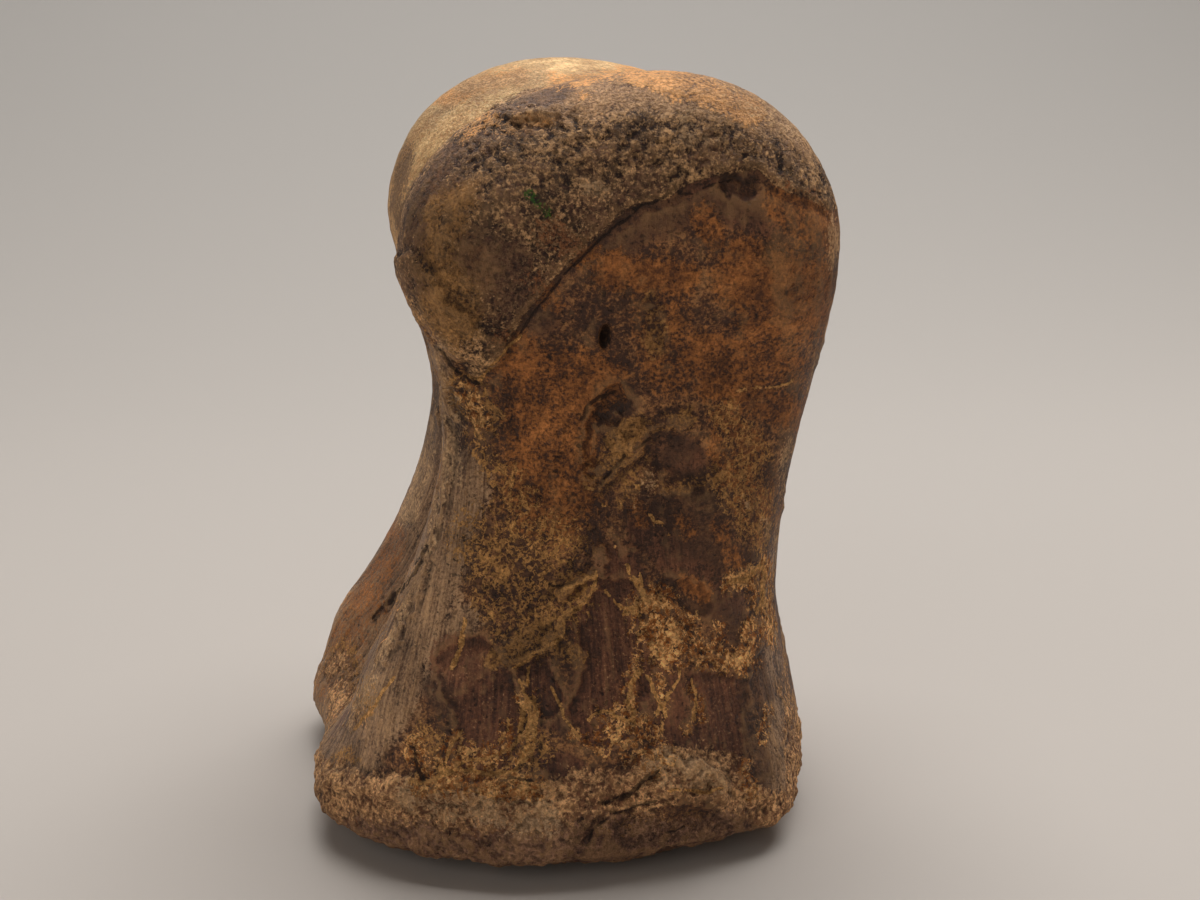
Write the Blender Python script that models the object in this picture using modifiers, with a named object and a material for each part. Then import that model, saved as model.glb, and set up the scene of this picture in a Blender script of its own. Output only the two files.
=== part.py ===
"""Fossil hadrosaur toe bone: a first phalanx that stands on its proximal end.

Blender 4.5, metres, +Z up. Z runs along the bone, from the proximal joint face on the
ground to the two condyles at the top. X runs from the plantar side (-X) to the dorsal
side (+X), and Y across the toe, from the near condyle (-Y) to the far one (+Y).
The bone is one solid: a box of quads whose vertices are placed by the bone's own
sections, smoothed by Subdivision Surface, and cut flat where its rounded end stands.
"""

import math

import bmesh
import bpy

MM = 0.001

# Driving dimensions, in millimetres. A pair is for the near and the far condyle.
CELLS = (12, 12, 16)  # quads of the cage along X, Y and Z
CREST_X = (17.5, -1.5)
CREST_Y = 25.5  # from the middle of the toe to either crest
CREST_Z = 121.1
CREST_SHARE = 0.6  # share of the cage's half width between the middle and a crest
LOBE_Z = 93.5  # where the condyles reach furthest to the plantar and dorsal sides
PLANTAR_X = -28.0
DORSAL_X = 44.0
PLANTAR_WRAP_DEG = 120.0  # how far the joint face wraps down from the crest
DORSAL_WRAP_DEG = 92.0
SIDE_WRAP_DEG = 92.0  # the same at a condyle's side face
GROOVE_DEPTH = 5.5  # between the condyles
SHOULDER_DROP = 15.0  # from a crest to the edge of the condyle's side face
SHOULDER_Y = 38.5  # side faces of the condyles
BLEND_FROM = 0.7  # share of the shaft's height above which it runs into the condyles
ROW_POWER = 1.5  # above 1, the cage's rows lie closer together near the base
RIM_HEIGHT = 4.5  # the rim of the proximal joint face clears the ground by this much
TIP_LIFT = 3.0  # and its plantar and dorsal edges by this much more
BELLY_DEPTH = 6.5  # how far the joint face bulges below its rim, before it is worn flat
TUBERCLE_Z = 15.0  # the knob at the far plantar corner of the base
TUBERCLE_Y = 20.0
TUBERCLE_HEIGHT = 4.5
TUBERCLE_RADIUS = 8.0
GROUND_HALF = 80.0
GROUND_DEPTH = 20.0

# Sections of the shaft: height above the rim, plantar edge, dorsal edge, near side, far side, plantar
# groove, and the roundness of the plantar and dorsal corners (0 square, 1 elliptical).
SECTIONS = (
    (0.0, -50.0, 43.0, -48.2, 47.0, 9.0, 1.00, 0.68),
    (6.0, -47.0, 43.0, -48.5, 47.5, 7.5, 0.90, 0.74),
    (12.0, -42.0, 42.0, -47.0, 46.0, 8.0, 0.82, 0.78),
    (20.0, -39.5, 40.0, -44.5, 43.5, 9.0, 0.78, 0.85),
    (32.0, -33.0, 38.5, -40.0, 39.5, 9.0, 0.72, 0.85),
    (46.0, -26.5, 39.5, -36.0, 36.5, 7.5, 0.70, 0.80),
    (60.0, -23.0, 42.0, -34.0, 35.0, 6.5, 0.70, 0.75),
    (75.0, -19.5, 44.5, -34.0, 35.0, 6.5, 0.68, 0.70),
    (90.0, -23.0, 43.0, -37.0, 37.5, 6.0, 0.62, 0.65),
    (106.0, -24.0, 43.0, -38.0, 38.5, 6.0, 0.55, 0.60),
)


def mix(start, end, share):
    return start + (end - start) * share


def smooth(value, low, high):
    """0 below low, 1 above high, and an S-shaped ramp between them."""
    ramp = min(1.0, max(0.0, (value - low) / (high - low)))
    return ramp * ramp * (3.0 - 2.0 * ramp)


def section_at(height):
    """The section's dimensions at a height, on smooth curves through the stations."""
    last = len(SECTIONS) - 1
    index = max([0] + [i for i in range(last) if SECTIONS[i][0] <= height])
    start, end = SECTIONS[index], SECTIONS[index + 1]
    before, after = SECTIONS[max(index - 1, 0)], SECTIONS[min(index + 2, last)]
    span = end[0] - start[0]
    t = min(1.0, max(0.0, (height - start[0]) / span))
    values = []
    for column in range(1, len(start)):
        slope_in = (end[column] - before[column]) / (end[0] - before[0])
        slope_out = (after[column] - start[column]) / (after[0] - start[0])
        values.append(
            start[column] * (2 * t**3 - 3 * t**2 + 1)
            + slope_in * span * (t**3 - 2 * t**2 + t)
            + end[column] * (3 * t**2 - 2 * t**3)
            + slope_out * span * (t**3 - t**2)
        )
    return values


def section_point(across, along, height):
    """A point of the section at a height. across and along run from -1 to 1 in X and Y."""
    plantar, dorsal, near, far, groove, plantar_round, dorsal_round = section_at(height)
    roundness = plantar_round if across < 0 else dorsal_round
    x_share = across * math.sqrt(1.0 - roundness * along**2 / 2.0)
    y_share = along * math.sqrt(1.0 - roundness * across**2 / 2.0)
    x = mix(plantar, dorsal, (1.0 + x_share) / 2.0)
    y = abs(y_share) * (near if along < 0 else far)
    plantar_share = max(0.0, -across)
    x += groove * plantar_share**2 * (1.0 - along**2) ** 4
    knob = math.hypot(height - TUBERCLE_Z, y - TUBERCLE_Y) / TUBERCLE_RADIUS
    x -= TUBERCLE_HEIGHT * plantar_share**4 * math.exp(-(knob**2))
    return x, y


def roller_point(across, along):
    """A point of the distal joint face, a roller with a condyle at either end."""
    share = abs(along)
    outer_share = max(0.0, (share - CREST_SHARE) / (1.0 - CREST_SHARE))
    if share < CREST_SHARE:
        y = CREST_Y * share / CREST_SHARE
        drop = GROOVE_DEPTH * math.cos(math.pi / 2 * share / CREST_SHARE) ** 2
    else:
        y = mix(CREST_Y, SHOULDER_Y, math.sin(math.pi / 2 * outer_share))
        drop = SHOULDER_DROP * (1.0 - math.cos(math.pi / 2 * outer_share))
    y = math.copysign(y, along)
    crest_x = mix(CREST_X[0], CREST_X[1], 0.5 + 0.5 * y / SHOULDER_Y)
    edge_x, wrap = (PLANTAR_X, PLANTAR_WRAP_DEG) if across < 0 else (DORSAL_X, DORSAL_WRAP_DEG)
    angle = math.radians(across * mix(wrap, SIDE_WRAP_DEG, outer_share))
    x = crest_x + (abs(edge_x - crest_x) - drop) * math.sin(angle)
    z = LOBE_Z + (CREST_Z - LOBE_Z - drop) * math.cos(angle)
    return x, y, z


def rim_arch(across, along):
    """Height of the rim over its lowest point. It arches up at the plantar and dorsal edges."""
    return TIP_LIFT * across**6 * (1.0 - along**2)


def wall_point(across, along, level):
    """A point of the shaft's outside. level runs from 0 at the rim to 1 at the roller."""
    rim_x, rim_y, rim_z = roller_point(across, along)
    low = rim_arch(across, along)
    height = mix(low, rim_z, level)
    x, y = section_point(across, along, height - low * (1.0 - level))
    share = smooth(level, BLEND_FROM, 1.0)
    return mix(x, rim_x, share), mix(y, rim_y, share), height


def base_point(across, along):
    """A point of the rounded proximal joint face."""
    x, y = section_point(across, along, 0.0)
    edge_share = 1.0 - (1.0 - across**2) * (1.0 - along**2)
    return x, y, rim_arch(across, along) - BELLY_DEPTH * (1.0 - edge_share**2)


def bone_point(across, along, level):
    """The place on the bone of a point of the surface of a box of 2 units a side."""
    if level > 0.999:
        return roller_point(across, along)
    if level < -0.999:
        return base_point(across, along)
    return wall_point(across, along, ((level + 1.0) / 2.0) ** ROW_POWER)


def bone_cage():
    """A cube, subdivided along each axis, with its vertices moved onto the bone."""
    cage = bmesh.new()
    bmesh.ops.create_cube(cage, size=2.0)
    for axis, count in enumerate(CELLS):
        long_edges = [
            edge
            for edge in cage.edges
            if abs(edge.verts[0].co[axis] - edge.verts[1].co[axis]) > 1.0
        ]
        bmesh.ops.subdivide_edges(
            cage, edges=long_edges, cuts=count - 1, use_grid_fill=True
        )
    for vertex in cage.verts:
        x, y, z = bone_point(*vertex.co)
        vertex.co = (MM * x, MM * y, MM * (z + RIM_HEIGHT))
    mesh = bpy.data.meshes.new("toe_bone")
    cage.to_mesh(mesh)
    cage.free()
    mesh.shade_smooth()
    return mesh


def fossil_bone_material():
    """Dark brown mineralised bone, dull all over."""
    material = bpy.data.materials.new("fossil bone")
    material.use_nodes = True
    shader = material.node_tree.nodes["Principled BSDF"]
    shader.inputs["Base Color"].default_value = (0.115, 0.055, 0.025, 1.0)
    shader.inputs["Roughness"].default_value = 0.65
    shader.inputs["Metallic"].default_value = 0.0
    return material


def collection(name):
    made = bpy.data.collections.new(name)
    bpy.context.scene.collection.children.link(made)
    return made


def centre_footprint(bone):
    """Moves the cage so that the middle of the smoothed bone's footprint is the origin."""
    bpy.context.view_layer.update()
    corners = bone.evaluated_get(bpy.context.evaluated_depsgraph_get()).bound_box
    for axis in (0, 1):
        values = [corner[axis] for corner in corners]
        middle = (min(values) + max(values)) / 2.0
        for vertex in bone.data.vertices:
            vertex.co[axis] -= middle


def ground_cutter(cutters):
    """A box whose top is the ground, which takes off what the joint face has below it."""
    box = bmesh.new()
    bmesh.ops.create_cube(box, size=1.0)
    size = (2 * GROUND_HALF * MM, 2 * GROUND_HALF * MM, GROUND_DEPTH * MM)
    bmesh.ops.scale(box, vec=size, verts=box.verts)
    bmesh.ops.translate(box, vec=(0.0, 0.0, -GROUND_DEPTH * MM / 2.0), verts=box.verts)
    mesh = bpy.data.meshes.new("ground_cutter")
    box.to_mesh(mesh)
    box.free()
    cutter = bpy.data.objects.new("ground_cutter", mesh)
    cutters.objects.link(cutter)
    cutter.hide_render = True
    cutter.display_type = "WIRE"
    return cutter


def toe_bone(parts, cutters):
    bone = bpy.data.objects.new("toe_bone", bone_cage())
    parts.objects.link(bone)
    bone.data.materials.append(fossil_bone_material())
    smoothing = bone.modifiers.new("smoothing", "SUBSURF")
    smoothing.levels = smoothing.render_levels = 1
    centre_footprint(bone)
    worn_flat = bone.modifiers.new("worn flat", "BOOLEAN")
    worn_flat.operation = "DIFFERENCE"
    worn_flat.object = ground_cutter(cutters)


def main():
    for old in list(bpy.data.objects):
        bpy.data.objects.remove(old)
    parts = collection("fossil_toe_bone")
    cutters = collection("cutters")
    toe_bone(parts, cutters)


main()
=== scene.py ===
import math

import bpy
import numpy as np
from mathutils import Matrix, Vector, noise


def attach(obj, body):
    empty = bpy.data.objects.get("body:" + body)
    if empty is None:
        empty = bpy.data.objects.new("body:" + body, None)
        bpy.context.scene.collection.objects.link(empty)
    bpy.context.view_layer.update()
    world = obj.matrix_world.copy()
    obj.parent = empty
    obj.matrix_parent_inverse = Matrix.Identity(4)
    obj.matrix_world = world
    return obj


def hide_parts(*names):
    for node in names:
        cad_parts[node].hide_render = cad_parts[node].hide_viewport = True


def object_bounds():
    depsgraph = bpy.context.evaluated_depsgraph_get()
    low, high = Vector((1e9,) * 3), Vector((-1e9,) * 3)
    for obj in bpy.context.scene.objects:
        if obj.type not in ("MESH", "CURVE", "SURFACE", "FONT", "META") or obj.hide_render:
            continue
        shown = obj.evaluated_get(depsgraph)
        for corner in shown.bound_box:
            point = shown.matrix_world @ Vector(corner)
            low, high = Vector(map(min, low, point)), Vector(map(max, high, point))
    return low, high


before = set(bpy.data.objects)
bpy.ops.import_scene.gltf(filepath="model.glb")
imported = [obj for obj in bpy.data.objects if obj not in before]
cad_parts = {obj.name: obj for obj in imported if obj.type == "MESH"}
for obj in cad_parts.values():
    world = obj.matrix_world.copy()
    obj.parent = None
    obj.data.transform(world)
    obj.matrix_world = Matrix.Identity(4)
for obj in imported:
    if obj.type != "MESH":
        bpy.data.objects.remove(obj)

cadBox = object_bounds()
millimetre = 0.001

# One drawing plane for the whole surface: the bone seen from the front, 15 degrees down.
# Every mark below is placed in millimetres on that drawing, (across, up) from its middle.
frontView = {
    "azimuth": -8.0,  # degrees round the bone, from its near side
    "elevation": 15.0,
    "distance": 306.0,  # mm from the eye to the middle of the bone
    "middle": (8.6, 0.0, 58.5),
    "lens": 52.5,  # mm
    "sensor": 36.0,
}


def viewAxes():
    turn = math.radians(frontView["azimuth"])
    tip = math.radians(frontView["elevation"])
    outward = np.array([math.sin(turn) * math.cos(tip), -math.cos(turn) * math.cos(tip), math.sin(tip)])
    across = np.array([math.cos(turn), math.sin(turn), 0.0])
    return across, np.cross(outward, across), outward


def linearColour(hexCode, alpha=1.0):
    channels = [int(hexCode[i:i + 2], 16) / 255 for i in (1, 3, 5)]
    return [c / 12.92 if c <= 0.04045 else ((c + 0.055) / 1.055) ** 2.4 for c in channels] + [alpha]


def addNode(tree, kind, inputs=None, **settings):
    node = tree.nodes.new("ShaderNode" + kind)
    for name, value in settings.items():
        setattr(node, name, value)
    for name, value in (inputs or {}).items():
        if isinstance(value, bpy.types.NodeSocket):
            tree.links.new(value, node.inputs[name])
        else:
            node.inputs[name].default_value = value
    return node


def addNoise(tree, place, scale, detail, roughness, output="Fac"):
    shape = {"Vector": place, "Scale": scale, "Detail": detail, "Roughness": roughness}
    return addNode(tree, "TexNoise", shape).outputs[output]


def maths(tree, operation, *values):
    return addNode(tree, "Math", dict(enumerate(values)), operation=operation).outputs[0]


# Maps the values from low to high onto those from newLow to newHigh.
def stretch(tree, value, low=0.0, high=1.0, newLow=0.0, newHigh=1.0, **settings):
    limits = {0: value, 1: low, 2: high, 3: newLow, 4: newHigh}
    return addNode(tree, "MapRange", limits, **settings).outputs[0]


def blend(tree, share, first, second):
    return addNode(tree, "Mix", {0: share, 2: first, 3: second}).outputs[0]


def blendColours(tree, share, first, second, how="MIX"):
    ends = {0: share, 6: first, 7: second}
    return addNode(tree, "Mix", ends, data_type="RGBA", blend_type=how).outputs[2]


def chooseOnly(piece):
    bpy.ops.object.select_all(action="DESELECT")
    piece.select_set(True)
    bpy.context.view_layer.objects.active = piece


def applyModifier(piece, kind, **settings):
    chooseOnly(piece)
    modifier = piece.modifiers.new(kind.title(), kind)
    for name, value in settings.items():
        setattr(modifier, name, value)
    bpy.ops.object.modifier_apply(modifier=modifier.name)


studio = {
    "paperNear": "#c0b8b0",
    "paperFarShaded": "#93908c",
    "paperRoughness": 0.85,
    "paperShadeGrade": (-0.1, 0.9),  # m along the floor, from the near tone to the far tone, darkened as painted shade
    "floorSize": 3.0,  # m
    "bendStart": 0.75,
    "bendRadius": 0.5,
    "bendSteps": 24,
    "wallHeight": 1.6,
    "overheadPower": 11.5,  # W
    "overheadSize": (1.0, 0.8),
    "overheadPlace": (0.15, 0.3, 0.9),
    "fillPower": 3.8,
    "fillSize": 1.2,
    "fillPlace": (-0.7, -0.95, 0.5),
    "ambient": 0.13,
    "ambientColour": "#f1f2f5",
}


def makeBackdrop():
    bpy.ops.object.select_all(action="DESELECT")
    size = studio["floorSize"]
    bpy.ops.mesh.primitive_plane_add(size=size, location=(0, studio["bendStart"] - size / 2, 0))
    backdrop = bpy.context.active_object
    backdrop.name = "studio_backdrop"
    bpy.ops.object.mode_set(mode="OBJECT")
    for edge in backdrop.data.edges:
        edge.select = all(backdrop.data.vertices[i].co.y > 0 for i in edge.vertices)
    for corner in backdrop.data.vertices:
        corner.select = corner.co.y > 0
    bpy.ops.object.mode_set(mode="EDIT")
    bpy.ops.mesh.select_mode(type="EDGE")
    bpy.ops.mesh.extrude_region_move(TRANSFORM_OT_translate={"value": (0, 0, studio["wallHeight"])})
    bpy.ops.object.mode_set(mode="OBJECT")
    applyModifier(backdrop, "BEVEL", width=studio["bendRadius"], segments=studio["bendSteps"],
                  limit_method="ANGLE")
    bpy.ops.object.transform_apply(location=True, rotation=True, scale=True)
    bpy.ops.object.shade_smooth()
    paper = bpy.data.materials.new("mattPaper")  # pale matt paper, no shine
    paper.use_nodes = True
    tree = paper.node_tree
    shader = tree.nodes["Principled BSDF"]
    seat = addNode(tree, "TexCoord").outputs["Object"]
    along = addNode(tree, "SeparateXYZ", {0: seat}).outputs["Y"]
    # the paper darkens towards the back: painted shade
    share = stretch(tree, along, *studio["paperShadeGrade"], interpolation_type="SMOOTHSTEP")
    near, far = linearColour(studio["paperNear"]), linearColour(studio["paperFarShaded"])
    tree.links.new(blendColours(tree, share, near, far), shader.inputs["Base Color"])
    shader.inputs["Roughness"].default_value = studio["paperRoughness"]
    backdrop.data.materials.append(paper)


def makeLight(name, power, size, place, aim):
    lamp = bpy.data.lights.new(name, "AREA")
    lamp.energy = power
    lamp.shape = "RECTANGLE"
    lamp.size, lamp.size_y = size
    holder = bpy.data.objects.new(name, lamp)
    holder.location = place
    holder.rotation_euler = (Vector(aim) - Vector(place)).to_track_quat("-Z", "Y").to_euler()
    bpy.context.scene.collection.objects.link(holder)


def makeStudio():
    makeBackdrop()
    middle = [v * millimetre for v in frontView["middle"]]
    makeLight("overhead_softbox", studio["overheadPower"], studio["overheadSize"],
              studio["overheadPlace"], middle)
    fillSize = (studio["fillSize"], studio["fillSize"])
    makeLight("front_fill", studio["fillPower"], fillSize, studio["fillPlace"], middle)
    world = bpy.data.worlds.new("room")
    world.use_nodes = True
    sky = world.node_tree.nodes["Background"]
    sky.inputs["Color"].default_value = linearColour(studio["ambientColour"])
    sky.inputs["Strength"].default_value = studio["ambient"]
    bpy.context.scene.world = world
    bpy.context.scene.view_settings.view_transform = "Standard"


def makeCamera():
    outward = viewAxes()[2]
    middle = Vector(frontView["middle"]) * millimetre
    lens = bpy.data.cameras.new("camera")
    lens.lens = frontView["lens"]
    lens.sensor_width = frontView["sensor"]
    camera = bpy.data.objects.new("camera", lens)
    camera.location = middle + Vector(outward) * frontView["distance"] * millimetre
    camera.rotation_euler = (middle - camera.location).to_track_quat("-Z", "Y").to_euler()
    bpy.context.scene.collection.objects.link(camera)
    bpy.context.scene.camera = camera


makeCamera()
makeStudio()
print("studio ready")

blankSettings = {
    "cell": 0.00045,  # m between points
    "quickCell": 0.0006,
    "softening": 0.5,
    "softenTurns": 22,
    "triangles": 195000,
    "astray": 1.2,  # mm from its neighbours' middle: a point further off is pulled back
    "boxMargin": 0.01,  # mm
    "unwrapTurns": 15,
    "unwrapAngle": 1.15,  # radians
    "unwrapGap": 0.003,
}


def makeBlank():
    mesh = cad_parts["toe_bone"].data.copy()
    mesh.materials.clear()
    bone = bpy.data.objects.new("fossil_toe_bone", mesh)
    bpy.context.scene.collection.objects.link(bone)
    chooseOnly(bone)
    bpy.ops.object.mode_set(mode="EDIT")
    bpy.ops.mesh.select_all(action="SELECT")
    bpy.ops.mesh.remove_doubles(threshold=1e-6)
    bpy.ops.object.mode_set(mode="OBJECT")
    cell = blankSettings["cell"]
    applyModifier(bone, "REMESH", mode="VOXEL", voxel_size=cell)
    applyModifier(bone, "SMOOTH", factor=blankSettings["softening"],
                  iterations=blankSettings["softenTurns"])
    return bone


def readMesh(bone):
    mesh = bone.data
    place = np.empty(len(mesh.vertices) * 3)
    facing = np.empty(len(mesh.vertices) * 3)
    mesh.vertices.foreach_get("co", place)
    mesh.vertices.foreach_get("normal", facing)
    return place.reshape(-1, 3) / millimetre, facing.reshape(-1, 3)


def writeMesh(bone, place):
    bone.data.vertices.foreach_set("co", (place * millimetre).ravel())
    bone.data.update()


def ramp(value, low, high):
    share = np.clip((value - low) / (high - low), 0, 1)
    return share * share * (3 - 2 * share)


def cloud(place, size, octaves=3, seed=0):
    shift = Vector((seed * 7.3, seed * 3.1, seed * 5.7))
    return np.array([noise.fractal(Vector(p) / size + shift, 0.9, 2.0, octaves) for p in place])


def drawOnFront(place):
    across, up, outward = viewAxes()
    offset = place - np.array(frontView["middle"])
    enlarge = frontView["distance"] / (frontView["distance"] - offset @ outward)
    return np.stack([offset @ across * enlarge, offset @ up * enlarge], axis=1)


# How far each drawn point is from a line, and on which side: 1 is left of its run, -1 right.
def lineGap(drawn, points):
    best = np.full(len(drawn), 1e9)
    side = np.zeros(len(drawn))
    points = np.array(points, float)
    for start, end in zip(points[:-1], points[1:]):
        run = end - start
        share = np.clip(((drawn - start) @ run) / (run @ run), 0, 1)
        gap = np.linalg.norm(drawn - (start + share[:, None] * run), axis=1)
        turn = run[0] * (drawn[:, 1] - start[1]) - run[1] * (drawn[:, 0] - start[0])
        closer = gap < best
        best[closer] = gap[closer]
        side[closer] = np.sign(turn[closer])
    return best, side


# Moves drawn points about in small waves, so that a drawn mark gets a natural ragged outline.
def wander(drawn, place, size, amount, seed):
    wave = [cloud(place, size, 3, seed), cloud(place, size, 3, seed + 1)]
    return drawn + amount * np.stack(wave, axis=1)


# Lower edge of the joint cap on the front drawing. The cap is above it.
capEdge = (
    (-60, 20), (-30, 22), (-26.5, 17.5), (-23, 13), (-21, 12.3), (-17.5, 16.3), (-10.5, 26.3), (-5, 33),
    (0, 37.6), (7, 42.9), (17.5, 46.7), (23.6, 48.7), (27.5, 48.7), (29.8, 46.4), (33.3, 44.6),
    (37.6, 42.9), (42.5, 41.1), (70, 38),
)

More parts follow.
